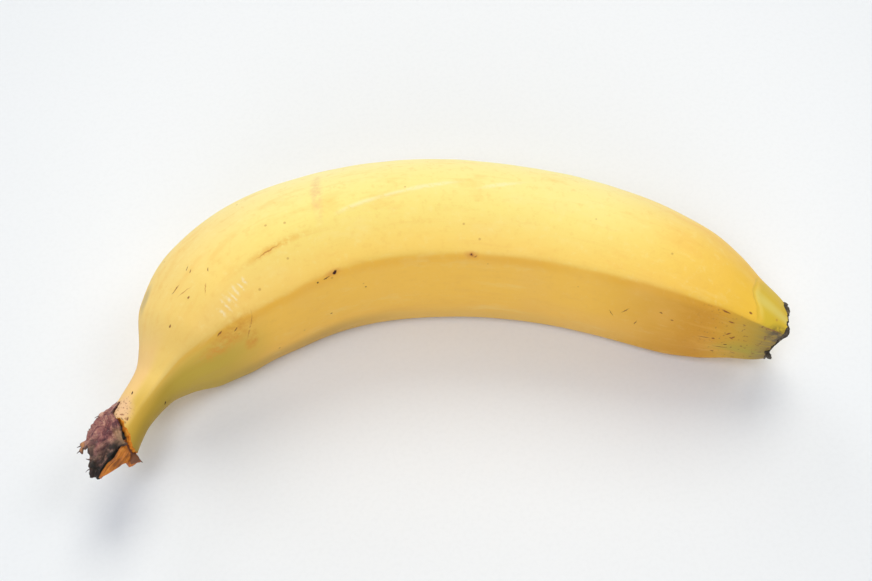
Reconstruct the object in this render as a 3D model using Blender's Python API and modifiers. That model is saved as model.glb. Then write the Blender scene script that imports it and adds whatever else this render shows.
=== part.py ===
"""A ripe banana lying on its side: one grown solid, stalk to the left, tip to the right.

Metres, +Z up.  The fruit runs along +X from the torn end of the stalk to the blossom end,
its hollow side faces -Y, and it rests on a small pressed flat under its belly at z = 0.
"""
import math

import bmesh
import bpy

NAME = "banana"

# ---- overall sizes -------------------------------------------------------------------------
CURVE_LENGTH = 0.1980      # along the middle line, stalk end to blossom end
BELLY_RADIUS = 0.0221      # middle line to the outermost ridge where the fruit is fattest
REST_PRESS = 0.0004        # how far the belly is pressed flat where it lies
LEAN = 5.1                 # degrees: the bend lies in a plane that dips toward the hollow side

# ---- stalk end -----------------------------------------------------------------------------
HUSK_ROOT = 0.066          # share of the length at which the dried torn husk begins
HUSK_WALL = 0.0017         # thickness of the husk at its rim
HOLLOW_REACH = 0.35        # how far down the husk its hollow goes, as a share of the husk
HOLLOW_RADIUS = 0.0026     # half-width of the floor of that hollow

# ---- blossom end ---------------------------------------------------------------------------
SCAR_DISH = 0.0012         # depth of the dished scar
SCAR_RIM = 0.85            # its rim as a share of the last section
SCAR_FLOOR = 0.45          # its floor as a share of the last section

# Heading of the middle line in degrees from +X, at shares of its length.
HEADING = (
    (0.00, 62.0), (0.06, 51.0), (0.12, 45.0), (0.16, 45.0), (0.22, 39.0), (0.30, 22.5),
    (0.40, 6.5), (0.52, -9.0), (0.66, -22.0), (0.80, -33.0), (0.90, -40.0), (1.00, -38.0),
)

# Radius of the outermost ridge as a share of BELLY_RADIUS, at shares of the length.
GIRTH = (
    (0.00, 0.345), (0.03, 0.315), (0.06, 0.262), (0.08, 0.240), (0.10, 0.252), (0.125, 0.295),
    (0.15, 0.425), (0.19, 0.715), (0.25, 0.915), (0.35, 1.000), (0.50, 1.000), (0.65, 0.962),
    (0.78, 0.908), (0.86, 0.832), (0.91, 0.695), (0.95, 0.510), (0.98, 0.370), (1.00, 0.305),
)

# How nearly each section is a flat-sided pentagon: 0 is round, 1 has flat sides.
FLATNESS = ((0.00, 0.25), (0.08, 0.35), (0.20, 0.62), (0.50, 0.72), (0.85, 0.74), (1.00, 0.66))

# The five ridges: angle in degrees at shares of the length, measured from level on the
# hollow side, upward and over the top.
RIDGES = (
    ((0.00, 64.0), (0.25, 62.0), (0.50, 48.5), (0.80, 54.0), (1.00, 52.0)),
    ((0.00, 80.0), (0.12, 80.0), (0.30, 92.0), (0.50, 106.0), (0.75, 111.0), (1.00, 92.0)),
    ((0.00, 150.0), (0.25, 160.0), (0.50, 167.0), (1.00, 165.0)),
    ((0.00, 225.0), (0.50, 232.0), (1.00, 232.0)),
    ((0.00, 308.0), (0.50, 310.0), (1.00, 312.0)),
)
POINTS_PER_FACE = 4        # section points from one ridge to the next

# Sections of the cage, as shares of the length, from the root of the husk to the blossom end.
STATIONS = (
    HUSK_ROOT, 0.080, 0.100, 0.120, 0.140, 0.160, 0.185, 0.215, 0.250, 0.295, 0.345, 0.400,
    0.460, 0.520, 0.580, 0.640, 0.700, 0.755, 0.805, 0.850, 0.885, 0.915, 0.940, 0.963,
    0.983, 1.000,
)

# How far each part of the torn husk reaches toward the stalk end: 1 is the full length,
# at angles round the stalk measured like the ridges.
HUSK_REACH = (
    (0.0, 0.62), (25.0, 0.34), (55.0, 0.38), (90.0, 0.72), (125.0, 0.58), (160.0, 0.90),
    (190.0, 0.64), (230.0, 1.00), (270.0, 0.86), (300.0, 0.62), (335.0, 0.72), (360.0, 0.62),
)
HUSK_STEPS = (0.45, 1.0)   # extra sections of the husk, as shares of its reach


def along(table, x):
    """Value at x of a smooth curve through the (x, value) pairs, without overshoot."""
    last = len(table) - 1
    x = min(max(x, table[0][0]), table[last][0])
    slopes = []
    for (x0, y0), (x1, y1) in zip(table, table[1:]):
        slopes.append((y1 - y0) / (x1 - x0))
    ends = [slopes[0]]
    for before, after in zip(slopes, slopes[1:]):
        turning = before * after <= 0.0
        ends.append(0.0 if turning else 2.0 * before * after / (before + after))
    ends.append(slopes[-1])
    i = 0
    while i < last - 1 and table[i + 1][0] <= x:
        i += 1
    x0, y0 = table[i]
    x1, y1 = table[i + 1]
    h = x1 - x0
    t = (x - x0) / h
    rise = y0 * (1 + 2 * t) * (1 - t) ** 2 + y1 * t * t * (3 - 2 * t)
    bend = h * (ends[i] * t * (1 - t) ** 2 + ends[i + 1] * t * t * (t - 1))
    return rise + bend


def middle_line(steps=400):
    """Points of the middle line as (x, y, heading in radians), evenly spaced along it."""
    stride = CURVE_LENGTH / steps
    x = y = 0.0
    line = []
    for i in range(steps + 1):
        heading = math.radians(along(HEADING, i / steps))
        if i:
            middle = math.radians(along(HEADING, (i - 0.5) / steps))
            x += stride * math.cos(middle)
            y += stride * math.sin(middle)
        line.append((x, y, heading))
    return line


LINE = middle_line()
CREST = max(point[1] for point in LINE)


def place(share, out, up):
    """World point: out toward the hollow side and up from the middle line at a share."""
    spot = min(max(share, 0.0), 1.0) * (len(LINE) - 1)
    i = min(int(spot), len(LINE) - 2)
    t = spot - i
    x = LINE[i][0] + t * (LINE[i + 1][0] - LINE[i][0])
    y = LINE[i][1] + t * (LINE[i + 1][1] - LINE[i][1])
    heading = LINE[i][2] + t * (LINE[i + 1][2] - LINE[i][2])
    past = (share - min(max(share, 0.0), 1.0)) * CURVE_LENGTH
    x += past * math.cos(heading)
    y += past * math.sin(heading)
    z = (y - CREST) * math.tan(math.radians(LEAN)) + up
    return (x + out * math.sin(heading), y - out * math.cos(heading), z)


def section(share):
    """The points of one section as (angle in degrees, distance from the middle line)."""
    radius = BELLY_RADIUS * along(GIRTH, share)
    flat = along(FLATNESS, share)
    corners = [along(ridge, share) for ridge in RIDGES]
    corners.append(corners[0] + 360.0)
    points = []
    for first, second in zip(corners, corners[1:]):
        half = math.radians((second - first) / 2)
        for step in range(POINTS_PER_FACE):
            angle = first + (second - first) * step / POINTS_PER_FACE
            off = math.radians(angle) - math.radians((first + second) / 2)
            side = math.cos(half) / math.cos(off)
            points.append((angle, radius * ((1 - flat) + flat * side)))
    return points


def ring(share, scale=1.0, shift=0.0):
    """World points of the section at a share, scaled about and shifted along the line."""
    found = []
    for angle, reach in section(share):
        turn = math.radians(angle)
        reach *= scale
        where = share + shift / CURVE_LENGTH
        found.append(place(where, reach * math.cos(turn), reach * math.sin(turn)))
    return found


def husk_ring(step, inset=0.0):
    """World points of the torn husk, step 0 at its root and 1 at its ragged rim."""
    found = []
    for i, (angle, _) in enumerate(section(HUSK_ROOT)):
        share = HUSK_ROOT * (1 - step * along(HUSK_REACH, angle % 360.0))
        reach = section(share)[i][1] - inset
        turn = math.radians(angle)
        found.append(place(share, reach * math.cos(turn), reach * math.sin(turn)))
    return found


def hollow_floor():
    """World points of the small floor inside the husk."""
    found = []
    for angle, _ in section(HUSK_ROOT):
        turn = math.radians(angle)
        out = HOLLOW_RADIUS * math.cos(turn)
        up = HOLLOW_RADIUS * math.sin(turn)
        found.append(place(HUSK_ROOT * (1 - HOLLOW_REACH), out, up))
    return found


def cage_rings():
    """All rings of the cage in order, from inside the husk to inside the scar."""
    rings = [hollow_floor(), husk_ring(1.0, HUSK_WALL)]
    for step in reversed(HUSK_STEPS):
        rings.append(husk_ring(step))
    for share in STATIONS:
        rings.append(ring(share))
    rings.append(ring(1.0, SCAR_RIM))
    rings.append(ring(1.0, SCAR_FLOOR, -SCAR_DISH))
    return rings


def loft(rings):
    """A closed mesh through the rings, capped at both ends."""
    bm = bmesh.new()
    rows = []
    for points in rings:
        rows.append([bm.verts.new(point) for point in points])
    for lower, upper in zip(rows, rows[1:]):
        count = len(lower)
        for i in range(count):
            j = (i + 1) % count
            bm.faces.new((lower[i], lower[j], upper[j], upper[i]))
    bm.faces.new(rows[0])
    bm.faces.new(rows[-1])
    bmesh.ops.recalc_face_normals(bm, faces=bm.faces)
    mesh = bpy.data.meshes.new(NAME)
    bm.to_mesh(mesh)
    bm.free()
    return mesh


def peel_material():
    """The yellow peel."""
    material = bpy.data.materials.new("peel")
    material.use_nodes = True
    shader = material.node_tree.nodes["Principled BSDF"]
    shader.inputs["Base Color"].default_value = (0.90, 0.62, 0.13, 1.0)
    shader.inputs["Roughness"].default_value = 0.45
    return material


def box(name, low, high):
    """A closed box between two corners."""
    bm = bmesh.new()
    bmesh.ops.create_cube(bm, size=1.0)
    for vert in bm.verts:
        for axis in range(3):
            middle = (low[axis] + high[axis]) / 2
            vert.co[axis] = middle + vert.co[axis] * (high[axis] - low[axis])
    mesh = bpy.data.meshes.new(name)
    bm.to_mesh(mesh)
    bm.free()
    return bpy.data.objects.new(name, mesh)


def extents(thing):
    """Lowest and highest corner of an object as its modifiers leave it."""
    bpy.context.view_layer.update()
    graph = bpy.context.evaluated_depsgraph_get()
    points = [vert.co for vert in thing.evaluated_get(graph).data.vertices]
    low = [min(point[axis] for point in points) for axis in range(3)]
    high = [max(point[axis] for point in points) for axis in range(3)]
    return low, high


def shift(thing, offset):
    """Move an object's own points by an offset."""
    for vert in thing.data.vertices:
        for axis in range(3):
            vert.co[axis] += offset[axis]


def collection(name):
    """A new collection in the scene."""
    made = bpy.data.collections.new(name)
    bpy.context.scene.collection.children.link(made)
    return made


def main():
    for old in list(bpy.data.objects):
        bpy.data.objects.remove(old, do_unlink=True)
    bodies = collection(NAME)
    tools = collection("cutters")

    banana = bpy.data.objects.new(NAME, loft(cage_rings()))
    bodies.objects.link(banana)
    banana.data.materials.append(peel_material())
    rounding = banana.modifiers.new("rounding", "SUBSURF")
    rounding.levels = 1
    rounding.render_levels = 1

    low, high = extents(banana)
    middle = [(low[axis] + high[axis]) / 2 for axis in range(2)]
    shift(banana, (-middle[0], -middle[1], -low[2] - REST_PRESS))

    size = max(high[axis] - low[axis] for axis in range(2))
    table = box("table", (-size, -size, -size), (size, size, 0.0))
    tools.objects.link(table)
    table.hide_render = True
    table.display_type = "WIRE"
    press = banana.modifiers.new("pressed_flat", "BOOLEAN")
    press.operation = "DIFFERENCE"
    press.solver = "EXACT"
    press.object = table


main()
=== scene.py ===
import math

import bpy
import numpy as np
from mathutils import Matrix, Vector, noise


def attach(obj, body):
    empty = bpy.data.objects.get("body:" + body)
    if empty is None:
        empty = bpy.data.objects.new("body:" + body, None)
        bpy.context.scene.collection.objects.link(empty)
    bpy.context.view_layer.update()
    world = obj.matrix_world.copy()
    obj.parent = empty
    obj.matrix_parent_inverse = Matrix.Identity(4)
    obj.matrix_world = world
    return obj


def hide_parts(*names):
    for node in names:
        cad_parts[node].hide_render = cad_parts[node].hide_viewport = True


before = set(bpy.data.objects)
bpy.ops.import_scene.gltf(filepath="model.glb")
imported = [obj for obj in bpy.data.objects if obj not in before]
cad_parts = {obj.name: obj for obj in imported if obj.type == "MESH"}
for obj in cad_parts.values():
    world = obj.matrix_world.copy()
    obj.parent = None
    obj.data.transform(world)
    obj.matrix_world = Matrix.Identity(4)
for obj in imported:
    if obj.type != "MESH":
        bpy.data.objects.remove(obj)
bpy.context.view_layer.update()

# ---- the fruit's own sizes, in metres and degrees ------------------------------------------
CURVE_LENGTH = 0.198
BELLY_RADIUS = 0.0221
LEAN = 5.1
LINE_START = (-0.08359, -0.03108)      # where the middle line begins, seen from above
CREST_HEIGHT = 0.01829                 # height of the middle line at the top of its bend

HEADING = (
    (0.00, 62.0), (0.06, 51.0), (0.12, 45.0), (0.16, 45.0), (0.22, 39.0), (0.30, 22.5),
    (0.40, 6.5), (0.52, -9.0), (0.66, -22.0), (0.80, -33.0), (0.90, -40.0), (1.00, -38.0),
)
GIRTH = (
    (0.00, 0.325), (0.03, 0.300), (0.06, 0.255), (0.08, 0.236), (0.10, 0.248), (0.125, 0.290),
    (0.15, 0.420), (0.19, 0.702), (0.25, 0.905), (0.35, 0.995), (0.50, 0.995), (0.65, 0.957),
    (0.78, 0.903), (0.86, 0.827), (0.91, 0.690), (0.95, 0.520), (0.98, 0.408), (1.00, 0.295),
)
# The five ridges: degrees round the section from level on the hollow side, upward and over.
RIDGES = (
    ((0.00, 62.0), (0.15, 63.0), (0.18, 57.0), (0.21, 52.0), (0.26, 45.5), (0.32, 44.0),
     (0.38, 45.0), (0.45, 47.0), (0.60, 47.8), (0.75, 50.2), (0.84, 53.7), (0.93, 60.0),
     (1.00, 62.0)),
    ((0.00, 80.0), (0.12, 80.0), (0.30, 92.0), (0.50, 106.0), (0.75, 111.0), (1.00, 92.0)),
    ((0.00, 150.0), (0.25, 160.0), (0.50, 167.0), (1.00, 165.0)),
    ((0.00, 225.0), (0.50, 232.0), (1.00, 232.0)),
    ((0.00, 308.0), (0.50, 310.0), (1.00, 312.0)),
)
SHARP = (26.0, 9.0, 14.0, 14.0, 18.0)    # how crisp each ridge is
MEAN_RADIUS = 0.018      # for grain that runs along the fruit
FLATNESS = ((0.00, 0.25), (0.08, 0.35), (0.20, 0.62), (0.50, 0.72), (0.85, 0.74), (1.00, 0.66))


def along(table, x):
    """Values at x of a smooth curve through the (x, value) pairs, without overshoot."""
    xs = np.array([pair[0] for pair in table])
    ys = np.array([pair[1] for pair in table])
    gaps = np.diff(xs)
    slopes = np.diff(ys) / gaps
    before, after = slopes[:-1], slopes[1:]
    level = before * after <= 0
    total = np.where(level, 1.0, before + after)
    inner = np.where(level, 0.0, 2 * before * after / total)
    ends = np.concatenate([slopes[:1], inner, slopes[-1:]])
    x = np.clip(np.asarray(x, float), xs[0], xs[-1])
    i = np.clip(np.searchsorted(xs, x, side="right") - 1, 0, len(gaps) - 1)
    h = gaps[i]
    t = (x - xs[i]) / h
    rise = ys[i] * (1 + 2 * t) * (1 - t) ** 2 + ys[i + 1] * t * t * (3 - 2 * t)
    return rise + h * (ends[i] * t * (1 - t) ** 2 + ends[i + 1] * t * t * (t - 1))


def middle_line(steps=400):
    """Rows of x, y and heading in radians, evenly spaced along the middle line."""
    shares = np.linspace(0, 1, steps + 1)
    heading = np.radians(along(HEADING, shares))
    between = np.radians(along(HEADING, (shares[1:] + shares[:-1]) / 2))
    stride = CURVE_LENGTH / steps
    x = np.concatenate([[0], np.cumsum(np.cos(between))]) * stride + LINE_START[0]
    y = np.concatenate([[0], np.cumsum(np.sin(between))]) * stride + LINE_START[1]
    return shares, x, y, heading


LINE_SHARES, LINE_X, LINE_Y, LINE_HEADING = middle_line()
CREST_Y = LINE_Y.max()


def place(share, out, up):
    """World points: out toward the hollow side and up from the middle line at a share."""
    share = np.asarray(share, float)
    held = np.clip(share, 0, 1)
    past = (share - held) * CURVE_LENGTH
    heading = np.interp(held, LINE_SHARES, LINE_HEADING)
    x = np.interp(held, LINE_SHARES, LINE_X) + past * np.cos(heading)
    y = np.interp(held, LINE_SHARES, LINE_Y) + past * np.sin(heading)
    z = CREST_HEIGHT + (y - CREST_Y) * math.tan(math.radians(LEAN)) + up
    return np.stack([x + out * np.sin(heading), y - out * np.cos(heading), z], -1)


def place_round(share, reach, degrees):
    """World points at a distance from the middle line, and at an angle round it."""
    level = np.radians(degrees)
    return place(share, reach * np.cos(level), reach * np.sin(level))


def ease(t):
    """From 0 to 1 as t does, but level at both ends."""
    return t * t * (3 - 2 * t)


# ---- shader arithmetic ---------------------------------------------------------------------
class Value:
    """One output of a material's node, with arithmetic that adds Math nodes."""

    def __init__(self, look, socket):
        self.look = look
        self.socket = socket

    def math(self, operation, *others):
        inputs = {0: self}
        for place_in, other in enumerate(others, 1):
            inputs[place_in] = other
        return self.look.node("ShaderNodeMath", {"operation": operation}, inputs)

    def __add__(self, other):
        return self.math("ADD", other)

    __radd__ = __add__

    def __mul__(self, other):
        return self.math("MULTIPLY", other)

    def __sub__(self, other):
        return self.math("SUBTRACT", other)

    def __rsub__(self, other):
        return self.math("MULTIPLY", -1.0) + other

    def __truediv__(self, other):
        return self.math("DIVIDE", other)

    def __abs__(self):
        return self.math("ABSOLUTE")

    def or_else(self, other):
        """The larger of two masks."""
        return self.math("MAXIMUM", other)

    def clamp(self):
        return self.look.node("ShaderNodeClamp", {}, {"Value": self})

    def smooth(self, low, high):
        """0 below low, 1 above high, and smooth between; low may be the larger."""
        settings = {"interpolation_type": "SMOOTHSTEP"}
        if low < high:
            return self.look.node("ShaderNodeMapRange", settings, {0: self, 1: low, 2: high})
        inputs = {0: self, 1: high, 2: low, 3: 1.0, 4: 0.0}
        return self.look.node("ShaderNodeMapRange", settings, inputs)


class Look:
    """A material being made."""

    def __init__(self, name):
        self.material = bpy.data.materials.new(name)
        self.material.use_nodes = True
        self.tree = self.material.node_tree
        self.shader = self.tree.nodes["Principled BSDF"]

    def node(self, kind, settings=None, inputs=None, output=0):
        """Add a node; inputs take numbers, colours, places or other outputs."""
        made = self.tree.nodes.new(kind)
        for name, setting in (settings or {}).items():
            if name == "stops":
                self.set_stops(made.color_ramp, setting)
            else:
                setattr(made, name, setting)
        for name, value in (inputs or {}).items():
            self.join(made.inputs[name], value)
        return Value(self, made.outputs[output])

    def join(self, socket, value):
        if isinstance(value, Value):
            self.tree.links.new(value.socket, socket)
        elif socket.type == "RGBA" and len(value) == 3:
            socket.default_value = (*value, 1.0)
        else:
            socket.default_value = value

    def set_stops(self, ramp, stops):
        while len(ramp.elements) < len(stops):
            ramp.elements.new(1.0)
        for element, (position, colour) in zip(ramp.elements, stops):
            element.position = position
            element.color = (*colour, 1.0)

    def finish(self, **sockets):
        """Fill the surface's sockets, named with _ for a space, and give the material."""
        for name, value in sockets.items():
            self.join(self.shader.inputs[name.replace("_", " ")], value)
        return self.material

    def mix(self, factor, first, second):
        """The first colour where factor is 0 and the second where it is 1."""
        settings = {"data_type": "RGBA", "clamp_factor": True}
        return self.node("ShaderNodeMix", settings, {0: factor, 6: first, 7: second}, 2)

    def ramp(self, value, stops):
        return self.node("ShaderNodeValToRGB", {"stops": stops}, {0: value})

    def vector(self, x, y, z):
        return self.node("ShaderNodeCombineXYZ", {}, {0: x, 1: y, 2: z})

    def stretch(self, vector, scale):
        """A place multiplied by a scale, axis by axis."""
        settings = {"operation": "MULTIPLY"}
        return self.node("ShaderNodeVectorMath", settings, {0: vector, 1: scale})

    def grain(self, vector, scale, detail=4.0, rough=0.5):
        inputs = {"Vector": vector, "Scale": scale, "Detail": detail, "Roughness": rough}
        return self.node("ShaderNodeTexNoise", {}, inputs)

    def place(self):
        """The place on the piece, in metres."""
        return self.node("ShaderNodeTexCoord", {}, {}, "Object")

    def skin_place(self):
        """The piece's own UV: on the peel, the share along it and the turns round it from the
        middle of the underside; on a leaf, the parts of the way down and across."""
        found = self.node("ShaderNodeUVMap", {"uv_map": "skin"})
        split = self.tree.nodes.new("ShaderNodeSeparateXYZ")
        self.tree.links.new(found.socket, split.inputs[0])
        return Value(self, split.outputs[0]), Value(self, split.outputs[1])

    def move(self, vector, far):
        """A place moved by an amount."""
        return self.node("ShaderNodeVectorMath", {"operation": "ADD"}, {0: vector, 1: far})

    def dot(self, vector, other):
        settings = {"operation": "DOT_PRODUCT"}
        return self.node("ShaderNodeVectorMath", settings, {0: vector, 1: other}, "Value")

    def length(self, vector):
        return self.node("ShaderNodeVectorMath", {"operation": "LENGTH"}, {0: vector}, "Value")

    def bump(self, height, distance):
        inputs = {"Height": height, "Distance": distance, "Strength": 1.0}
        return self.node("ShaderNodeBump", {}, inputs)


# ---- modelling helpers ---------------------------------------------------------------------
def start_fresh():
    """Leave edit mode and deselect everything."""
    if bpy.context.object and bpy.context.object.mode != "OBJECT":
        bpy.ops.object.mode_set(mode="OBJECT")
    bpy.ops.object.select_all(action="DESELECT")


def named(name):
    """The object just added, with its name and its mesh's name set."""
    made = bpy.context.object
    made.name = name
    made.data.name = name
    return made


def points_of(mesh):
    """The mesh's points as rows of x, y and z."""
    flat = np.empty(len(mesh.vertices) * 3)
    mesh.vertices.foreach_get("co", flat)
    return flat.reshape(-1, 3)


def sheet_from_grid(name, shares, across, spot, share_at=None):
    """A flat grid bent so that spot(share, part across) gives each point; its UV keeps both."""
    start_fresh()
    bpy.ops.mesh.primitive_grid_add(
        x_subdivisions=len(shares) - 1, y_subdivisions=across, size=1.0, calc_uvs=True
    )
    made = named(name)
    mesh = made.data
    steps = np.linspace(0, 1, len(shares))
    flat = points_of(mesh) + 0.5
    mesh.vertices.foreach_set("co", spot(np.interp(flat[:, 0], steps, shares), flat[:, 1]).ravel())
    layer = mesh.uv_layers[0]
    layer.name = "skin"
    uv = np.empty(len(layer.data) * 2)
    layer.data.foreach_get("uv", uv)
    uv = uv.reshape(-1, 2)
    uv[:, 0] = np.interp(uv[:, 0], steps, shares)
    if share_at:
        uv[:, 0] = share_at(uv[:, 0], uv[:, 1])
    layer.data.foreach_set("uv", uv.ravel())
    return made


def close_seams(made, near=2e-6):
    """Merge the points that meet, turn all faces outward and smooth the shading."""
    bpy.ops.object.mode_set(mode="EDIT")
    bpy.ops.mesh.select_all(action="SELECT")
    bpy.ops.mesh.remove_doubles(threshold=near)
    bpy.ops.mesh.select_all(action="SELECT")
    bpy.ops.mesh.normals_make_consistent(inside=False)
    bpy.ops.object.mode_set(mode="OBJECT")
    bpy.ops.object.shade_smooth()


def apply_modifier(made, kind, **settings):
    """Add one modifier and apply it at once."""
    modifier = made.modifiers.new(kind.lower(), kind)
    for name, setting in settings.items():
        setattr(modifier, name, setting)
    bpy.context.view_layer.objects.active = made
    bpy.ops.object.modifier_apply(modifier=modifier.name)


def lumps(points, size, seed=0.0):
    """Smooth lumps between -1 and 1 at each point, about size across."""
    start = Vector((seed, seed * 1.7 + 3.1, seed * 0.3 - 5.2))
    return np.array([noise.noise(Vector(point) / size + start) for point in points])


# ---- peel ----------------------------------------------------------------------------------
ROUND = 180
TORN_EDGE = (          # share at which the yellow skin ends at the stalk, by angle
    (-90.0, 0.055), (-40.0, 0.046), (-10.0, 0.043), (0.0, 0.040), (12.0, 0.038),
    (20.0, 0.040), (37.0, 0.044), (55.0, 0.051), (70.0, 0.056), (82.0, 0.060),
    (97.0, 0.061), (115.0, 0.062), (133.0, 0.074), (171.0, 0.081), (190.0, 0.080),
    (225.0, 0.070), (270.0, 0.055),
)
SCAR_EDGE = (          # share at which it ends round the blossom scar
    (-90.0, 0.987), (-9.0, 0.991), (10.0, 0.9925), (24.0, 0.9945), (38.0, 0.9965), (48.0, 0.998),
    (60.0, 1.0005), (70.0, 1.002), (80.0, 1.0015), (92.0, 0.999), (104.0, 0.998), (122.0, 0.995),
    (140.0, 0.989), (165.0, 0.987), (200.0, 0.992), (225.0, 0.985), (250.0, 0.990), (270.0, 0.987),
)
TORN_BAND = 0.02       # stretch of the first UV coordinate that covers the torn end, below 0
SCAR_BAND = 0.02       # and the one that covers the scar, above SCAR_START
SCAR_START = 1.01


def edge_at(table, angle):
    """An edge's share at angles from 0 to 360, from a table that starts at -90."""
    return along(table, np.where(angle > 270, angle - 360, angle))


def section_radius(share, angle):
    """Distance from the middle line to the skin, at a share and an angle in degrees."""
    flat = along(FLATNESS, share)
    corners = [along(ridge, share) for ridge in RIDGES]
    ridge_at = np.stack(corners + [corners[0] + 360.0, corners[1] + 360.0])
    turn = np.where(angle < corners[0], angle + 360.0, angle)
    sharp = np.zeros_like(share)
    for i in range(5):
        gap = ridge_at[i + 1] - ridge_at[i]
        t = ease(np.clip((turn - ridge_at[i]) / gap, 0, 1))
        inside = (turn >= ridge_at[i]) & (turn < ridge_at[i + 1])
        sharp = np.where(inside, SHARP[i] + t * (SHARP[(i + 1) % 5] - SHARP[i]), sharp)
    total = np.zeros_like(share)
    for i in range(5):
        first, second = ridge_at[i], ridge_at[i + 1]
        half = np.radians((second - first) / 2)
        off = np.radians(angle - (first + second) / 2)
        off = (off + math.pi) % (2 * math.pi) - math.pi
        wall = 1.0 / ((1 - flat) + flat * np.cos(half) / np.maximum(np.cos(off), 0.2))
        total += np.where(np.abs(off) < 1.3, wall, 0.3) ** sharp
    return BELLY_RADIUS * along(GIRTH, share) * total ** (-1.0 / sharp)


def skin_share(station, part):
    """The real share under a station of the skin; the torn end and the scar keep their own."""
    angle = (part * 360.0 - 90.0 + 360.0) % 360.0
    ragged = 0.0011 * np.sin(np.radians(angle * 9)) + 0.0008 * np.sin(np.radians(angle * 23 + 40))
    torn = edge_at(TORN_EDGE, angle) + ragged
    nicks = 0.0007 * np.sin(np.radians(angle * 15 + 20)) + 0.0004 * np.sin(np.radians(angle * 41))
    scar = edge_at(SCAR_EDGE, angle) + nicks
    span = np.clip(station, 0, 1)
    near_scar = np.clip((span - 0.85) / 0.15, 0, 1) ** 2
    where = span + torn * np.clip(1 - span / 0.2, 0, 1) ** 2 + (scar - 1) * near_scar
    return np.where(station < 0, station, np.where(station > 1, station, where))


def peel_spot(station, part):
    """The skin, with its torn end below station 0 and its dished scar above SCAR_START."""
    angle = (part * 360.0 - 90.0 + 360.0) % 360.0
    where = skin_share(np.clip(station, 0, 1), part)
    reach = section_radius(where, angle)
    inside = np.clip(-station / TORN_BAND, 0, 1)
    depth = np.interp(inside, (0, 0.12, 0.4, 0.55, 0.8, 1.0), (0, 0.25, 1.1, 1.3, 1.4, 1.4)) / 1000
    depth = np.where(inside > 0.8, 0.0014 + (reach - 0.0014) * (inside - 0.8) / 0.2, depth)
    where = where + np.interp(inside, (0, 0.12, 0.4, 0.55, 0.8, 1), (0, -1.5, -4, 4, 22, 24)) / 1000
    scar = np.clip((station - SCAR_START) / SCAR_BAND, 0, 1)
    deep = np.interp(scar, (0, 0.08, 0.2, 0.35, 1.0), (0.0, 0.04, 0.12, 0.22, 1.0))
    rise = np.interp(scar, (0, 0.08, 0.2, 0.35, 0.6, 1.0), (0.0, 2.2, 2.0, -2.5, -6.0, -5.0)) / 1000
    level_scar = np.where(scar > 0.2, 0.989 - where, 0) * np.clip((scar - 0.2) / 0.3, 0, 1)
    where = where + rise + level_scar
    return place_round(where, (reach - np.minimum(depth, reach)) * (1 - deep), angle)


def make_peel():
    """The whole peel, with gentle dents and swellings, closed at both ends."""
    torn = np.linspace(-TORN_BAND, 0, 16)
    skin = np.linspace(0, 1, 360)[1:]
    scar = np.linspace(SCAR_START, SCAR_START + SCAR_BAND, 21)
    stations = np.concatenate([torn, skin, scar])
    made = sheet_from_grid("peel", stations, ROUND, peel_spot, skin_share)
    close_seams(made)
    mesh = made.data
    spots = points_of(mesh)
    flat = np.empty(len(mesh.vertices) * 3)
    mesh.vertices.foreach_get("normal", flat)
    swell = lumps(spots * (0.45, 1.0, 1.0), 0.016, 2.0) * 0.00028
    swell += lumps(spots, 0.006, 6.0) * 0.00007
    swell *= np.clip((spots[:, 2] - 0.0006) / 0.003, 0, 1)
    mesh.vertices.foreach_set("co", (spots + flat.reshape(-1, 3) * swell[:, None]).ravel())
    mesh.update()
    return made


class Skin:
    """Where a point of the peel lies, for the marks on it: millimetres along and round."""

    def __init__(self, look):
        self.look = look
        self.share, self.turn = look.skin_place()
        self.angle = self.turn * 360.0 - 90.0
        level = self.angle * (math.pi / 180)
        out, up = level.math("COSINE") * MEAN_RADIUS, level.math("SINE") * MEAN_RADIUS
        self.straight = look.vector(self.share * CURVE_LENGTH, out, up)
        inputs = {"Vector": look.place(), "Scale": 900.0, "Detail": 3.0}
        wobble = look.node("ShaderNodeTexNoise", {}, inputs, "Color")
        shift = look.stretch(look.move(wobble, (-0.5, -0.5, -0.5)), (0.0045, 0.007, 0.0))
        self.spread = look.move(look.vector(self.share, self.turn, 0.0), shift)

    def mark(self, share, angle, long, wide, tilt=0.0, soft=0.4):
        """A blot of given half length and half width in mm, 1 inside and 0 outside."""
        look = self.look
        round_here = float(section_radius(np.array([share]), np.array([angle % 360.0]))[0])
        from_middle = look.move(self.spread, (-share, -(angle + 90.0) / 360.0, 0.0))
        lean, rise = math.cos(math.radians(tilt)), math.sin(math.radians(tilt))
        length, turn = CURVE_LENGTH * 1e3, round_here * 2e3 * math.pi
        ahead = look.dot(from_middle, (lean * length / long, rise * turn / long, 0.0))
        aside = look.dot(from_middle, (-rise * length / wide, lean * turn / wide, 0.0))
        return look.length(look.vector(ahead, aside, 0.0)).smooth(1.0 + soft, 1.0 - soft)

    def marks(self, places):
        """Many blots as one mask."""
        total = None
        for place_of in places:
            one = self.mark(*place_of)
            total = one if total is None else total.or_else(one)
        return total


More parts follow.
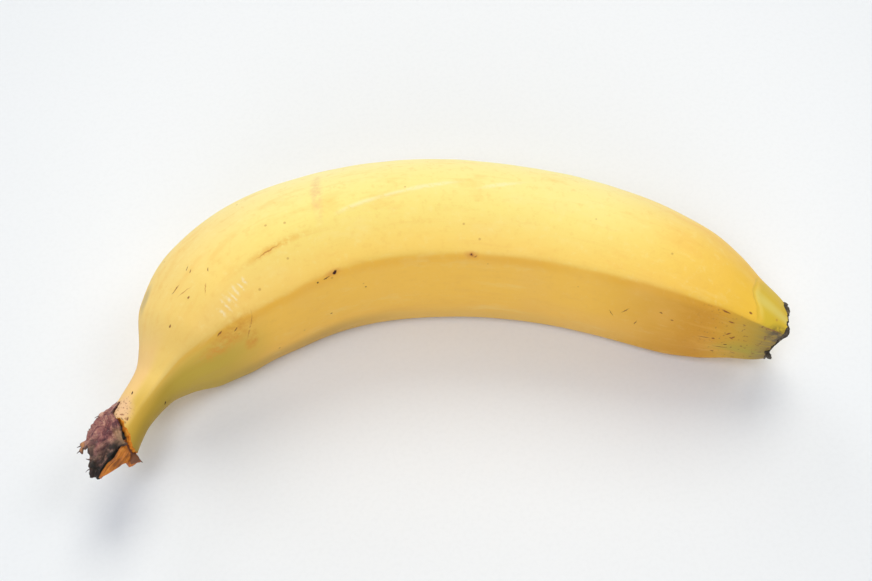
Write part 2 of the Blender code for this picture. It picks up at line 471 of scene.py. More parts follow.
# Marks on the peel: share, angle, half length and half width in mm, tilt in degrees, softness.
SCABS = (
    (0.394, 46, 0.70, 0.45, 30, 0.3), (0.366, 43, 0.32, 0.26, 0, 0.4),
    (0.380, 44, 0.9, 0.12, 6, 0.5), (0.096, 110, 0.42, 0.2, 20, 0.3),
    (0.113, 2, 0.5, 0.22, 65, 0.3), (0.941, -3, 0.38, 0.16, 0, 0.4),
    (0.591, 48, 0.26, 0.20, 0, 0.5), (0.430, 205, 0.6, 0.4, 20, 0.4),
    (0.700, 236, 0.5, 0.3, 70, 0.4),
)
FLECKS = (
    (0.591, 48, 0.55, 0.42, 0, 0.5), (0.596, 47, 0.5, 0.16, 30, 0.5),
    (0.947, 20, 0.45, 0.16, 55, 0.4), (0.945, 17, 0.4, 0.2, -30, 0.4),
    (0.925, 9, 0.32, 0.25, 0, 0.4), (0.239, 111, 0.6, 0.12, 30, 0.5),
    (0.238, 106, 0.5, 0.12, 30, 0.5), (0.250, 93, 0.5, 0.12, 60, 0.5),
    (0.213, 109, 1.0, 0.14, -10, 0.6), (0.212, 92, 0.3, 0.25, 0, 0.5),
    (0.177, 95, 0.25, 0.25, 0, 0.5), (0.378, 3, 0.3, 0.25, 0, 0.5),
    (0.281, -17, 0.3, 0.2, 0, 0.5), (0.438, 24, 0.3, 0.2, 0, 0.5),
    (0.222, 44, 0.5, 0.22, 20, 0.5), (0.203, 51, 0.7, 0.2, 10, 0.5),
    (0.928, 58, 0.9, 0.18, 0, 0.5), (0.938, 48, 0.4, 0.2, 0, 0.5), (0.955, 69, 0.3, 0.25, 0, 0.5),
    (0.940, 26, 0.7, 0.25, 40, 0.5), (0.929, -26, 0.4, 0.2, 0, 0.5),
    (0.915, 8, 1.2, 0.13, 4, 0.6), (0.936, -12, 1.6, 0.12, -4, 0.6),
    (0.808, 18, 1.3, 0.12, 50, 0.6), (0.790, 8, 1.0, 0.12, -60, 0.6),
    (0.825, 2, 0.9, 0.12, 80, 0.6), (0.855, 30, 0.4, 0.2, 0, 0.5), (0.871, 24, 0.3, 0.2, 0, 0.5),
    (0.240, 240, 2.0, 0.12, 30, 0.6), (0.550, 190, 3.0, 0.12, -12, 0.6),
    (0.760, 165, 1.2, 0.14, 40, 0.6),
)
FAINT_LINES = (
    (0.242, 38, 3.3, 0.13, 55, 0.6), (0.238, 36, 2.2, 0.11, 58, 0.6),
    (0.320, 76, 2.6, 0.16, 3, 0.8), (0.215, 99, 1.4, 0.12, -30, 0.7),
    (0.231, 84, 1.0, 0.12, 40, 0.7),
)
RUBS = (
    (0.222, 62.0, 0.50, 1.2, 6, 0.7), (0.232, 63.0, 0.28, 1.7, 0, 0.7),
    (0.240, 64.0, 0.42, 1.8, 10, 0.7), (0.247, 64.0, 0.26, 1.4, 4, 0.7),
    (0.255, 66.5, 0.40, 1.3, -4, 0.7), (0.264, 66.0, 0.25, 1.1, 8, 0.7),
    (0.273, 68.0, 0.36, 0.9, 0, 0.7),
)
HALOS = ((0.391, 46, 2.2, 0.8, 6, 0.6), (0.591, 48, 1.6, 0.9, 0, 0.7))       # brown rings
BLOTCHES = ((0.208, 40, 7.5, 2.8, 8, 0.6), (0.236, 22, 3.2, 1.8, 60, 0.5))   # by the neck
HOOKS = (              # torn nicks at the edge of the husk
    (0.061, 84, 0.9, 0.3, 70, 0.4), (0.066, 76, 0.5, 0.22, 20, 0.4), (0.058, 90, 0.5, 0.3, 0, 0.4),
)


def peel_look():
    """Ripe skin: ground colour by side, with painted sheen on top and painted shade low on the
    hollow side, ripeness at both ends, then its marks one by one, among them painted highlights
    along two ridges.
    """
    look = Look("ripe_peel")
    skin = Skin(look)
    share, turn, angle = skin.share, skin.turn, skin.angle
    spot = look.place()
    broad = look.grain(spot, 34.0, 3.0)
    mottle = look.grain(look.stretch(skin.straight, (70.0, 200.0, 200.0)), 1.0, 5.0, 0.6)
    streaks = look.grain(look.stretch(skin.straight, (40.0, 900.0, 900.0)), 1.0, 3.0, 0.6)
    fine = look.grain(spot, 1500.0, 3.0)
    ridge = look.ramp(share, [(s, (v / 180,) * 3) for s, v in RIDGES[0]]) * 180.0
    below = ridge - angle + (mottle - 0.5) * 4.0

    # Ground colour by side: the pale cream stops on top are partly the skin's own tone and partly
    # painted sheen.
    around = turn + (broad - 0.5) * 0.05
    colour = look.ramp(around, [
        (0.0, (0.90, 0.55, 0.10)), (0.20, (0.94, 0.58, 0.10)), (0.36, (0.95, 0.58, 0.09)),
        (0.41, (0.95, 0.65, 0.14)), (0.48, (0.95, 0.76, 0.21)), (0.56, (0.955, 0.81, 0.30)),
        (0.66, (0.96, 0.84, 0.37)), (0.80, (0.94, 0.74, 0.23)), (1.0, (0.90, 0.55, 0.10)),
    ])
    lower = below.smooth(-1.4, 1.4) * angle.smooth(-70.0, -40.0)
    colour = look.mix(lower * 0.85, colour, (0.985, 0.565, 0.080))
    # Painted shade: the hollow side turns darker and duller low down, towards the floor, along the
    # whole fruit.
    colour = look.mix(lower * angle.smooth(-14.0, -44.0) * 0.45, colour, (0.74, 0.50, 0.15))
    # Painted shade, stronger on the left half: brown darkening low on the hollow side, where it
    # lies close to the floor.
    low_left = lower * angle.smooth(-10.0, -36.0) * share.smooth(0.54, 0.36)
    colour = look.mix(low_left * 0.5, colour, (0.42, 0.25, 0.05))
    colour = look.mix(share.smooth(0.42, 0.16) * 0.8 * (1 - lower), colour, (0.94, 0.61, 0.155))
    colour = look.mix(share.smooth(0.72, 0.92) * 0.80, colour, (0.94, 0.53, 0.045))
    colour = look.mix(lower * share.smooth(0.74, 0.92) * 0.88, colour, (0.65, 0.285, 0.020))
    on_ridge = below.smooth(-3.0, 1.2) * below.smooth(10.0, 2.0)
    colour = look.mix(on_ridge * broad.smooth(0.3, 0.6) * 0.6, colour, (0.90, 0.45, 0.035))
    colour = look.mix(broad.smooth(0.50, 0.70) * 0.36, colour, (0.93, 0.54, 0.13))
    colour = look.mix(mottle.smooth(0.53, 0.72) * 0.30, colour, (0.90, 0.49, 0.09))
    colour = look.mix(mottle.smooth(0.45, 0.28) * 0.20, colour, (0.97, 0.78, 0.32))
    colour = look.mix(streaks.smooth(0.56, 0.80) * 0.25, colour, (0.86, 0.50, 0.10))
    speckle = look.grain(spot, 520.0, 3.0, 0.7)
    colour = look.mix(speckle.smooth(0.52, 0.72) * 0.20, colour, (0.84, 0.46, 0.08))
    pale = speckle.smooth(0.46, 0.28) * 0.13 * (1 - lower * 0.6)
    colour = look.mix(pale, colour, (0.98, 0.86, 0.42))

    neck = share.smooth(0.20, 0.09)
    colour = look.mix(neck * 0.55, colour, (0.85, 0.60, 0.17))
    under_neck = below.smooth(-12.0, 30.0) * share.smooth(0.30, 0.17) * angle.smooth(-80.0, -50.0)
    colour = look.mix(under_neck * 0.85, colour, (0.50, 0.345, 0.034))
    colour = look.mix(under_neck * share.smooth(0.17, 0.11) * 0.6, colour, (0.42, 0.265, 0.022))
    stalk_front = share.smooth(0.135, 0.085) * angle.smooth(20.0, 50.0) * angle.smooth(125.0, 75.0)
    colour = look.mix(stalk_front * 0.7, colour, (0.62, 0.38, 0.045))
    flush = angle.smooth(88.0, 112.0) * angle.smooth(200.0, 170.0) * share.smooth(0.19, 0.12)
    colour = look.mix(flush * 0.6, colour, (0.90, 0.56, 0.25))
    leaf_green = skin.mark(0.178, 19, 12.0, 6.0, 0, 0.6)
    colour = look.mix(leaf_green * mottle.smooth(0.3, 0.6) * 0.22, colour, (0.60, 0.47, 0.06))
    blotch = skin.marks(BLOTCHES)
    patchy = look.grain(spot, 520.0, 5.0, 0.75).smooth(0.34, 0.68)
    colour = look.mix(blotch * patchy * 0.80, colour, (0.74, 0.31, 0.035))
    bruise = skin.mark(0.405, 108, 1.1, 7.2, -11, 0.8)
    colour = look.mix(bruise * speckle.smooth(0.25, 0.60) * 0.50, colour, (0.82, 0.45, 0.22))
    rub = skin.mark(0.195, 149, 2.6, 1.4, 0, 0.6)
    colour = look.mix(rub * 0.45, colour, (0.36, 0.29, 0.19))

    crease_at = look.ramp(angle / 180.0, [
        (0.30, (0.966,) * 3), (0.385, (0.965,) * 3), (0.45, (0.960,) * 3), (0.50, (0.953,) * 3),
        (0.56, (0.947,) * 3), (0.75, (0.945,) * 3), (1.0, (0.952,) * 3),
    ])
    crease = share - crease_at + (mottle - 0.5) * 0.004
    tip = crease.smooth(-0.003, 0.012)
    colour = look.mix(tip * 0.88 * (1 - lower * 0.7), colour, (0.51, 0.435, 0.038))
    colour = look.mix(crease.smooth(-0.060, -0.004) * 0.45, colour, (0.89, 0.52, 0.025))
    colour = look.mix(lower * share.smooth(0.915, 0.985) * 0.75, colour, (0.38, 0.27, 0.045))
    green_patch = skin.mark(0.962, -12, 6.0, 2.6, 0, 0.7) * mottle.smooth(0.35, 0.6)
    colour = look.mix(green_patch * 0.5, colour, (0.42, 0.38, 0.05))
    fold = crease.smooth(-0.0030, 0.0) * crease.smooth(0.0040, 0.0004) * angle.smooth(58.0, 70.0)
    fold = fold * angle.smooth(160.0, 125.0)
    colour = look.mix(fold * 0.55, colour, (0.70, 0.47, 0.04))
    fold_light = crease.smooth(0.0015, 0.004) * crease.smooth(0.010, 0.0055)
    fold_light = fold_light * angle.smooth(66.0, 78.0) * angle.smooth(125.0, 105.0)
    colour = look.mix(fold_light * 0.25, colour, (0.80, 0.72, 0.18))
    # Painted highlight: a pale stripe along the ridge that runs over the green tip.
    tip_ridge_highlight = abs(angle - 97.0 + (mottle - 0.5) * 12.0).smooth(17.0, 1.0) * tip
    colour = look.mix(tip_ridge_highlight * 0.38, colour, (0.78, 0.71, 0.24))

    # Painted highlight: a pale cream line along the faint upper ridge, which the bump also raises.
    highlight_line_off = abs(angle - (share - 0.424) * 114.0 - 85.0)
    highlight_line_span = share.smooth(0.41, 0.44) * share.smooth(0.585, 0.55) * speckle.smooth(0.30, 0.52)
    raised_line_highlight = (highlight_line_off + (mottle - 0.5) * 4.0).smooth(3.0, 0.2) * highlight_line_span
    far_highlight_piece = skin.mark(0.622, 103, 4.2, 0.55, 20, 0.8) * speckle.smooth(0.3, 0.5)
    raised_line_highlight = raised_line_highlight.or_else(far_highlight_piece)
    colour = look.mix(raised_line_highlight * 0.45, colour, (0.98, 0.89, 0.54))
    rubbed = skin.marks(RUBS) * look.grain(spot, 1200.0, 2.0).smooth(0.30, 0.62)
    colour = look.mix(rubbed * 0.55, colour, (0.97, 0.84, 0.58))
    soft_crease = skin.mark(0.330, 76.5, 8.5, 0.75, 1, 0.9)
    colour = look.mix(soft_crease * speckle.smooth(0.30, 0.55) * 0.60, colour, (0.84, 0.44, 0.06))
    faint = skin.marks(FAINT_LINES) * speckle.smooth(0.30, 0.46)
    colour = look.mix(faint * 0.85, colour, (0.55, 0.20, 0.03))

    cell = {"Vector": spot, "Scale": 230.0}
    chance = look.node("ShaderNodeTexVoronoi", {}, cell, "Color") + 0.0
    near = look.node("ShaderNodeTexVoronoi", {}, cell, "Distance")
    pores = near.smooth(0.10, 0.05) * chance.smooth(0.62, 0.66)
    colour = look.mix(pores * 0.55, colour, (0.52, 0.24, 0.045))
    flecks = skin.marks(FLECKS)
    colour = look.mix(flecks * 0.92, colour, (0.25, 0.065, 0.018))
    halo = skin.marks(HALOS)
    colour = look.mix(halo * 0.55, colour, (0.72, 0.28, 0.05))
    scabs = skin.marks(SCABS)
    colour = look.mix(scabs, colour, (0.045, 0.012, 0.010))
    freckles = look.grain(spot, 1100.0, 2.0).smooth(0.615, 0.70)
    freckles = freckles * share.smooth(0.88, 0.96) * lower
    colour = look.mix(freckles * 0.65, colour, (0.25, 0.09, 0.03))

    tan = skin.mark(0.071, 108, 3.6, 2.6, 20, 0.5)
    colour = look.mix(tan * 0.75, colour, (0.80, 0.50, 0.30))
    tan_specks = tan * look.grain(spot, 1600.0, 2.0).smooth(0.58, 0.66)
    colour = look.mix(tan_specks * 0.8, colour, (0.30, 0.10, 0.05))
    hooks = skin.marks(HOOKS)
    colour = look.mix(hooks * 0.85, colour, (0.16, 0.035, 0.015))

    red_line = skin.mark(0.987, 60, 1.9, 0.16, 4, 0.5)
    colour = look.mix(red_line * 0.7, colour, (0.45, 0.12, 0.03))
    smudge = skin.mark(0.996, 52, 2.4, 2.0, 0, 0.6)
    smudge = smudge * look.grain(spot, 700.0, 3.0).smooth(0.30, 0.55)
    colour = look.mix(smudge * 0.9, colour, (0.05, 0.04, 0.03))
    grey_end = share.smooth(0.965, 0.992) * lower * streaks.smooth(0.25, 0.6)
    colour = look.mix(grey_end * 0.6, colour, (0.19, 0.14, 0.09))

    torn = share.smooth(0.020, 0.012)
    flesh = look.ramp(look.grain(spot, 900.0, 4.0), [
        (0.30, (0.34, 0.07, 0.012)), (0.50, (0.70, 0.21, 0.015)), (0.72, (0.86, 0.36, 0.04)),
    ])
    colour = look.mix(torn, colour, flesh)
    scar = share.smooth(1.006, 1.009)
    dark = look.ramp(look.grain(spot, 1000.0, 4.0), [
        (0.30, (0.012, 0.009, 0.007)), (0.55, (0.055, 0.036, 0.022)), (0.75, (0.16, 0.11, 0.065)),
    ])
    colour = look.mix(scar, colour, dark)

    worn = (scabs + flecks * 0.5 + scar + torn + tan * 0.5).clamp()
    rough = 0.44 + mottle * 0.16 + fine * 0.06 + worn * 0.30
    height = streaks * 0.5 + mottle * 0.6 + fine * 0.22
    height = height + (torn + scar) * look.grain(spot, 1300.0, 3.0) * 2.0
    height = height - fold * 1.0 + raised_line_highlight * 1.0
    normal = look.bump(height, 0.00009)
    return look.finish(Base_Color=colour, Roughness=rough, Normal=normal, Specular_IOR_Level=0.26)


# ---- torn stalk end ------------------------------------------------------------------------
HUSK_THICK = 0.0006
FLAP_THICK = 0.0007
PITH_REACHES = (-0.0135, 0.06)      # shares from its ragged end to inside the stalk
HUSK_SIDE = (          # its edge on the hollow side: part of the way down, share, angle
    (0.000, 0.0795, 130.0), (0.094, 0.0705, 124.0), (0.172, 0.0625, 117.0), (0.266, 0.0590, 98.0),
    (0.340, 0.0550, 83.0), (0.410, 0.0480, 73.0), (0.480, 0.0410, 63.0), (0.545, 0.0390, 49.0),
    (0.627, 0.0310, 60.0), (0.713, 0.0210, 66.0), (0.824, 0.0080, 72.0), (0.902, -0.0010, 77.0),
    (1.000, -0.0125, 79.0),
)


def husk_spot(part_long, part_round):
    """The dried skin that wraps the back of the stalk, from its root to its ragged tips."""
    parts, side_share, side_angle = np.array(HUSK_SIDE).T
    first = np.interp(part_long, parts, side_angle)
    angle = first + part_round * (262.0 - first)
    root = np.interp(angle, (130, 133, 171, 262), (0.0795, 0.0790, 0.0850, 0.0620))
    tip = np.interp(
        angle,
        (79, 87, 93, 99, 103, 106, 109, 112, 118, 126, 133, 138, 141, 145, 151, 157, 168, 182, 200,
         262),
        (-0.0125, -0.0120, -0.0085, -0.0090, -0.0030, 0.0025, 0.0120, 0.0200, 0.0190, 0.0165,
         0.0140, 0.0095, 0.0130, 0.0200, 0.0280, 0.0340, 0.0390, 0.0430, 0.0460, 0.0500),
    )
    share = root + part_long * (tip - root)
    near_side = ease(np.clip(1 - part_round / 0.28, 0, 1))
    share = share + near_side * (np.interp(part_long, parts, side_share) - share)
    back = np.interp(share, (-0.01, 0.015, 0.030, 0.038, 0.05, 0.061, 0.068, 0.076, 0.082, 0.092),
                     (6.5, 7.1, 7.1, 7.0, 6.7, 6.3, 5.9, 5.4, 5.1, 4.9))
    front = np.interp(share, (-0.014, 0.0, 0.03, 0.05, 0.06, 0.08), (4.9, 5.3, 5.9, 6.1, 6.0, 5.5))
    side = ease(np.clip((angle - 80.0) / 40.0, 0, 1))
    reach = (front + side * (back - front)) / 1000
    found = place_round(share, reach, angle)
    crease = lumps(found, 0.0030, 1.0) * 0.00055 + lumps(found, 0.0012, 2.0) * 0.00050
    crease = crease + lumps(found, 0.0006, 11.0) * 0.00022
    crease = crease + 0.00030 * np.sin(np.radians(angle * 15 + share * 2500))
    reach = reach + crease * np.clip(part_long * 2.5, 0, 1)
    share = share + lumps(found, 0.0011, 3.0) * 0.0050 * np.clip((part_long - 0.9) * 10, 0, 1)
    share = share + lumps(found, 0.0008, 8.0) * 0.0030 * np.clip(1 - part_round * 20, 0, 1)
    return place_round(share, reach, angle)


def flap_spot(part_long, part_round):
    """The orange inner flesh of the stalk on the hollow side, curling out to a point."""
    last = np.interp(
        part_long, (0.0, 0.3, 0.5, 0.68, 0.74, 0.83, 0.90, 1.0),
        (50.0, 52.0, 57.0, 59.0, 64.0, 71.0, 75.0, 77.0),
    )
    angle = -60.0 + part_round * (last + 60.0)
    tip = np.interp(
        angle,
        (-60, -25, -12, -4, -1, 1.0, 3, 6, 10, 16, 22, 28, 37, 46, 56, 64, 74, 78),
        (0.045, 0.042, 0.040, 0.038, 0.035, 0.0310, 0.031, 0.026, 0.0165, 0.0205, 0.0190, 0.0155,
         0.0085, 0.0015, -0.0040, -0.0080, -0.0115, -0.0120),
    )
    share = 0.062 + part_long * (tip - 0.062)
    curl = np.exp(-(((angle - 1.0) / 7.0) ** 2)) * np.clip((0.040 - share) / 0.009, 0, 1)
    base = np.interp(
        share, (-0.012, 0.0, 0.02, 0.032, 0.042, 0.062), (4.6, 5.0, 5.5, 5.5, 4.8, 4.0)
    )
    reach = (base + 2.2 * curl) / 1000
    found = place_round(share, reach, angle)
    crease = lumps(found, 0.0028, 4.0) * 0.00035 + lumps(found, 0.0011, 5.0) * 0.00020
    reach = reach + crease + 0.00010 * np.sin(np.radians(angle * 22)) * part_long
    return place_round(share, reach, angle)


def core_spot(share, part_round):
    """The dark pith between them: a ragged plug, closed at both ends."""
    angle = part_round * 360.0
    reach = np.interp(
        share, (-0.0135, -0.012, -0.008, 0.0, 0.01, 0.03, 0.055, 0.06),
        (0.0, 0.5, 0.9, 1.5, 2.2, 3.4, 3.7, 0.0),
    )
    off = np.interp(share, (-0.0135, -0.008, 0.0, 0.01, 0.03), (3.9, 3.7, 3.1, 2.3, 0.7)) / 1000
    level = np.radians(angle)
    found = place_round(share, reach / 1000, angle)
    reach = reach * (1 + 0.16 * lumps(found, 0.0014, 7.0)) / 1000
    aim = math.radians(80.0)
    out = reach * np.cos(level) + off * math.cos(aim)
    return place(share, out, reach * np.sin(level) + off * math.sin(aim))


def make_leaf(name, spot, thick):
    """A thin ragged leaf with both faces and its edges."""
    made = sheet_from_grid(name, np.linspace(0, 1, 110), 150, spot)
    close_seams(made, 1e-7)
    apply_modifier(made, "SOLIDIFY", thickness=thick, offset=-1.0)
    close_seams(made, 1e-7)
    return made


def make_core():
    """The pith, closed at both ends."""
    made = sheet_from_grid("stalk_pith", np.linspace(*PITH_REACHES, 60), 60, core_spot)
    close_seams(made)
    return made


FIBRES = (             # thin strands: share, angle and reach in mm at three points, thickness in mm
    ((0.063, 158.0, 6.0), (0.058, 162.0, 7.0), (0.055, 168.0, 7.6), 0.14),
    ((0.019, 146.0, 7.0), (0.017, 149.0, 7.6), (0.015, 151.0, 7.8), 0.15),
    ((0.013, 140.0, 7.0), (0.010, 142.0, 7.4), (0.008, 144.0, 7.5), 0.14),
    ((0.003, 106.0, 6.4), (0.002, 110.0, 6.9), (0.002, 113.0, 7.1), 0.16),
    ((-0.006, 97.0, 5.9), (-0.009, 104.0, 6.5), (-0.013, 106.0, 6.4), 0.12),
    ((0.032, 0.0, 7.0), (0.0305, 1.0, 7.7), (0.0300, 2.0, 8.1), 0.16),
)


def fibre_spot(first, bend, last, thick):
    """A curved strand through three points that thins to nothing at its far end."""
    ends = [place_round(share, reach / 1000, angle) for share, angle, reach in (first, bend, last)]

    def spot(part_long, part_round):
        t = part_long[:, None]
        line = ends[0] * (1 - t) ** 2 + ends[1] * 2 * t * (1 - t) + ends[2] * t * t
        ahead = ends[2] - ends[0]
        ahead = ahead / np.linalg.norm(ahead)
        side = np.cross(ahead, (0.3, 0.2, 0.93))
        side = side / np.linalg.norm(side)
        over = np.cross(side, ahead)
        reach = thick / 1000 * np.interp(part_long, (0, 0.04, 0.5, 0.96, 1), (0, 1.2, 0.8, 0.35, 0))
        around = part_round * 2 * math.pi
        aside, above = reach * np.cos(around), reach * np.sin(around)
        return line + aside[:, None] * side + above[:, None] * over

    return spot


def make_fibres():
    """All the strands, as one piece."""
    strands = []
    for i, strand in enumerate(FIBRES):
        spot = fibre_spot(*strand)
        made = sheet_from_grid("strand_%d" % i, np.linspace(0, 1, 15), 8, spot)
        close_seams(made, 1e-6)
        strands.append(made)
    start_fresh()
    for made in strands:
        made.select_set(True)
    bpy.context.view_layer.objects.active = strands[0]
    bpy.ops.object.join()
    return named("husk_fibres")


# ---- blossom end ---------------------------------------------------------------------------
def crust_spot(part_round, part_tube):
    """A crumbly dark ring round the scar, thick where the flower parts broke off."""
    angle = part_round * 360.0
    thick = np.interp(
        angle,
        (0, 20, 40, 52, 62, 72, 80, 90, 100, 117, 124, 132, 150, 158, 166, 190, 215, 240, 290, 330,
         360),
        (0.22, 0.22, 0.30, 0.5, 0.70, 0.72, 0.45, 0.15, 0.12, 0.16, 0.60, 0.92, 0.95, 0.75, 0.3,
         0.35, 0.7, 0.4, 0.3, 0.3, 0.22),
    )
    rim = edge_at(SCAR_EDGE, angle)
    ring = section_radius(rim, angle) - 0.0004
    around = part_tube * 2 * math.pi
    spot = place_round(rim, ring, angle)
    rough = 1 + 0.5 * lumps(spot + 0.001 * np.stack([np.cos(around)] * 3, -1), 0.0009, 9.0)
    thick = thick / 1000 * rough
    reach = ring + thick * 0.7 * np.cos(around)
    where = rim + 0.0008 + thick * 0.9 * np.sin(around) / CURVE_LENGTH
    return place_round(where, reach, angle)


def nub_spot(part_long, part_round):
    """The dry stub of a flower part that hangs from the rim."""
    reach = np.interp(
        part_long, (0, 0.1, 0.4, 0.6, 0.8, 0.93, 1.0), (0, 0.95, 0.75, 0.8, 0.95, 0.75, 0)
    )
    around = part_round * 2 * math.pi
    level = math.radians(-8.0)
    out = 0.0056 + part_long * 0.0014
    where = 0.9905 + part_long * 0.0040
    found = place(
        where + reach / 1000 * np.cos(around) / CURVE_LENGTH,
        out * math.cos(level) - reach / 1000 * np.sin(around) * math.sin(level),
        out * math.sin(level) + reach / 1000 * np.sin(around) * math.cos(level),
    )
    return found + 0.00035 * np.stack([lumps(found, 0.001, s) for s in (1.0, 2.0, 3.0)], -1)


def make_crust():
    """The crumbly ring, closed on itself."""
    made = sheet_from_grid("blossom_crust", np.linspace(0, 1, 181), 20, crust_spot)
    close_seams(made)
    return made


def make_nub():
    """The hanging stub, closed at both ends."""
    made = sheet_from_grid("blossom_stub", np.linspace(0, 1, 25), 24, nub_spot)
    close_seams(made)
    return made


def dry_look(name, size, stops, rough, depth):
    """A withered surface: its colours by two sizes of grain, with a crinkled bump."""
    look = Look(name)
    spot = look.place()
    coarse = look.grain(spot, 0.45 / size, 4.0, 0.65)
    fibres = look.grain(spot, 1.6 / size, 4.0, 0.7)
    blend = (coarse * 0.62 + fibres * 0.38 - 0.5) * 1.7 + 0.5
    colour = look.ramp(blend, stops)
    height = coarse * 0.8 + fibres * 0.6 + look.grain(spot, 5.0 / size, 2.0) * 0.25
    roughness = rough + (fibres - 0.5) * 0.3
    return look.finish(
        Base_Color=colour, Roughness=roughness, Normal=look.bump(height, depth),
        Specular_IOR_Level=0.35,
    )


def husk_look():
    """Withered purple skin with lengthwise fibres, blackened where it meets the slit."""
    look = Look("dry_husk")
    down, across = look.skin_place()
    spot = look.place()
    coarse = look.grain(spot, 330.0, 4.0, 0.7)
    patches = look.grain(spot, 150.0, 3.0)
    fibres = look.grain(look.vector(down * 5.0, across * 42.0, coarse * 0.6), 1.0, 4.0, 0.7)
    blend = (coarse * 0.42 + fibres * 0.36 + patches * 0.22 - 0.5) * 3.0 + 0.5
    colour = look.ramp(blend, [
        (0.10, (0.024, 0.009, 0.012)), (0.30, (0.135, 0.036, 0.046)), (0.46, (0.33, 0.115, 0.102)),
        (0.66, (0.56, 0.275, 0.195)), (0.86, (0.86, 0.59, 0.42)),
    ])
    flakes = look.grain(spot, 1500.0, 3.0, 0.7)
    colour = look.mix(flakes.smooth(0.58, 0.70) * 0.45, colour, (0.74, 0.42, 0.33))
    colour = look.mix(flakes.smooth(0.44, 0.34) * 0.60, colour, (0.040, 0.014, 0.018))
    by_slit = across.smooth(0.26, 0.05) * down.smooth(0.46, 0.62)
    low = down.smooth(0.70, 0.90) * across.smooth(0.30, 0.14)
    char = by_slit.or_else(low) * (1 - coarse.smooth(0.50, 0.74) * 0.60)
    colour = look.mix(char * 0.95, colour, (0.016, 0.015, 0.010))
    lobe = across.smooth(0.16, 0.05) * down.smooth(0.34, 0.44) * down.smooth(0.64, 0.54)
    colour = look.mix(lobe * coarse.smooth(0.35, 0.55) * 0.7, colour, (0.40, 0.25, 0.12))
    tooth = abs(across - 0.345).smooth(0.075, 0.03) * down.smooth(0.80, 0.92)
    colour = look.mix(tooth * fibres.smooth(0.40, 0.55) * 0.8, colour, (0.55, 0.24, 0.06))
    upper = across.smooth(0.30, 0.46) * down.smooth(0.15, 0.40)
    colour = look.mix(upper * 0.25, colour, (0.085, 0.025, 0.045))
    edge = down.smooth(0.965, 0.995).or_else(across.smooth(0.022, 0.006))
    colour = look.mix(edge * 0.7, colour, (0.022, 0.010, 0.010))
    height = coarse * 0.8 + fibres * 0.8 + flakes * 0.45
    return look.finish(
        Base_Color=colour, Roughness=0.50 + (fibres - 0.5) * 0.4, Normal=look.bump(height, 0.0006),
        Specular_IOR_Level=0.45,
    )


def flap_look():
    """Torn orange flesh with lengthwise streaks, with painted shadow where it comes out of the
    stalk.
    """
    look = Look("torn_flesh")
    down, across = look.skin_place()
    spot = look.place()
    coarse = look.grain(spot, 260.0, 4.0, 0.6)
    streaks = look.grain(look.vector(down * 3.0, across * 30.0, coarse * 0.5), 1.0, 3.0, 0.6)
    blend = (coarse * 0.5 + streaks * 0.5 - 0.5) * 2.4 + 0.5
    colour = look.ramp(blend, [
        (0.14, (0.16, 0.045, 0.014)), (0.42, (0.36, 0.105, 0.014)), (0.66, (0.60, 0.190, 0.018)),
        (0.92, (0.76, 0.32, 0.05)),
    ])
    # Painted shadow: the flap darkens where it comes out from under the torn skin, standing in for
    # the gap's shadow.
    stalk_gap_shadow = (down - 0.93 + (across - 0.52) * 1.35 + (coarse - 0.5) * 0.12).smooth(0.015, -0.025)
    colour = look.mix(stalk_gap_shadow * 0.85, colour, (0.085, 0.030, 0.018))
    point = abs(across - 0.455).smooth(0.06, 0.02) * down.smooth(0.80, 0.96)
    colour = look.mix(point * 0.8, colour, (0.13, 0.05, 0.025))
    rim = down.smooth(0.975, 0.998)
    colour = look.mix(rim * 0.5, colour, (0.62, 0.20, 0.10))
    height = coarse * 0.7 + streaks * 0.7 + look.grain(spot, 1800.0, 2.0) * 0.2
    return look.finish(
        Base_Color=colour, Roughness=0.50 + (streaks - 0.5) * 0.3, Normal=look.bump(height, 0.0004),
        Specular_IOR_Level=0.4,
    )


def keep(made, material):
    """Give a finished piece its material, and let it ride on the fruit's one body."""
    made.data.materials.clear()
    made.data.materials.append(material)
    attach(made, "root")
    return made


peel = keep(make_peel(), peel_look())
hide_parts("banana")
keep(make_leaf("dry_husk", husk_spot, HUSK_THICK), husk_look())
keep(make_leaf("inner_flap", flap_spot, FLAP_THICK), flap_look())
keep(make_fibres(), dry_look("dry_fibre", 0.001, (
    (0.2, (0.020, 0.012, 0.010)), (0.6, (0.10, 0.045, 0.030)), (0.85, (0.32, 0.17, 0.09)),
), 0.6, 0.0001))
keep(make_core(), dry_look("dark_pith", 0.0015, (
    (0.2, (0.005, 0.006, 0.005)), (0.55, (0.020, 0.026, 0.020)), (0.85, (0.07, 0.05, 0.045)),
), 0.5, 0.0003))
crust_look = dry_look("blossom_crust", 0.0012, (
    (0.2, (0.014, 0.011, 0.008)), (0.50, (0.048, 0.036, 0.024)), (0.66, (0.13, 0.10, 0.065)),
    (0.85, (0.40, 0.36, 0.27)),
), 0.6, 0.0004)
keep(make_crust(), crust_look)
keep(make_nub(), crust_look)


# ---- floor, light and camera ---------------------------------------------------------------
FLOOR_SIZE = 30.0
ROOM_LIGHT = 0.13        # how strongly the pale room lights the fruit
ROOM_SEEN = 0.90         # and how bright it looks behind it
CAMERA_AZIMUTH = 12.8
CAMERA_ELEVATION = 60.0
CAMERA_AIM = (0.00305, -0.00207, 0.018)
CAMERA_DISTANCE = 0.3601


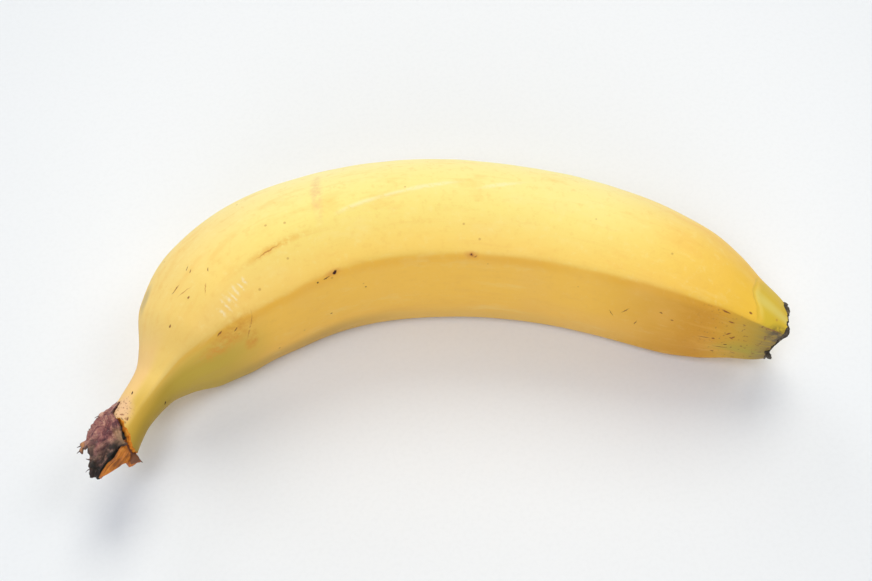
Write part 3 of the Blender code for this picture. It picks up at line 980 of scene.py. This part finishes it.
def make_floor():
    """A wide sheet of pale paper, with a painted pool of light: brightest under the fruit and
    greyer further out.
    """
    start_fresh()
    bpy.ops.mesh.primitive_plane_add(size=FLOOR_SIZE, location=(0, 0, 0))
    floor = named("pale_floor")
    look = Look("pale_paper")
    spot = look.place()
    light_pool_reach = look.length(look.move(spot, (-0.02, -0.03, 0.0)))
    # Painted light: the paper's colour darkens with distance from a spot near the fruit.
    colour = look.mix(light_pool_reach.smooth(0.07, 0.21), (0.845, 0.850, 0.852), (0.775, 0.792, 0.805))
    tooth = look.grain(spot, 900.0, 2.0).smooth(0.4, 0.7)
    colour = look.mix(tooth * 0.05, colour, (0.60, 0.60, 0.60))
    floor.data.materials.append(look.finish(Base_Color=colour, Roughness=0.9))


def soft_light(name, side, rise, strength, spread, colour):
    """A broad even light from a side (0 is behind the fruit) and a height, in degrees."""
    lamp = bpy.data.lights.new(name, "SUN")
    lamp.energy = math.pi * strength
    lamp.angle = math.radians(spread)
    lamp.color = colour
    made = bpy.data.objects.new(name, lamp)
    bpy.context.scene.collection.objects.link(made)
    side = math.radians(side + CAMERA_AZIMUTH)
    rise = math.radians(rise)
    flat = math.cos(rise)
    sight = Vector((math.sin(side) * flat, math.cos(side) * flat, math.sin(rise)))
    made.rotation_euler = (-sight).to_track_quat("-Z", "Y").to_euler()


def make_light():
    """Five broad soft lights in a pale room."""
    soft_light("overhead_front", 200.0, 64.0, 0.40, 34.0, (0.955, 1.0, 1.11))
    soft_light("front_fill", 182.0, 27.0, 0.18, 36.0, (0.97, 1.0, 1.08))
    soft_light("window_behind", 3.0, 51.0, 0.48, 36.0, (1.01, 0.99, 0.89))
    soft_light("low_left", 328.0, 22.0, 0.18, 26.0, (0.96, 0.98, 1.0))
    soft_light("window_right", 75.0, 50.0, 0.13, 26.0, (1.0, 1.0, 1.0))
    world = bpy.data.worlds.new("pale_room")
    bpy.context.scene.world = world
    world.use_nodes = True
    nodes = world.node_tree.nodes
    ground = nodes["Background"]
    ground.inputs["Color"].default_value = (0.955, 0.98, 1.0, 1.0)
    path = nodes.new("ShaderNodeLightPath")
    share = nodes.new("ShaderNodeMapRange")
    share.inputs["To Min"].default_value = ROOM_LIGHT
    share.inputs["To Max"].default_value = ROOM_SEEN
    world.node_tree.links.new(path.outputs["Is Camera Ray"], share.inputs["Value"])
    world.node_tree.links.new(share.outputs[0], ground.inputs["Strength"])
    bpy.context.scene.view_settings.view_transform = "Standard"


def make_camera():
    """A camera that looks down at the hollow side, with the stalk at the lower left."""
    lens = bpy.data.cameras.new("viewpoint")
    lens.lens = 60.0
    lens.sensor_width = 36.0
    lens.clip_start = 0.01
    made = bpy.data.objects.new("viewpoint", lens)
    bpy.context.scene.collection.objects.link(made)
    side = math.radians(CAMERA_AZIMUTH)
    rise = math.radians(CAMERA_ELEVATION)
    sight = Vector(
        (math.sin(side) * math.cos(rise), math.cos(side) * math.cos(rise), -math.sin(rise))
    )
    made.location = Vector(CAMERA_AIM) - sight * CAMERA_DISTANCE
    made.rotation_euler = sight.to_track_quat("-Z", "Y").to_euler()
    bpy.context.scene.camera = made


make_floor()
make_light()
make_camera()
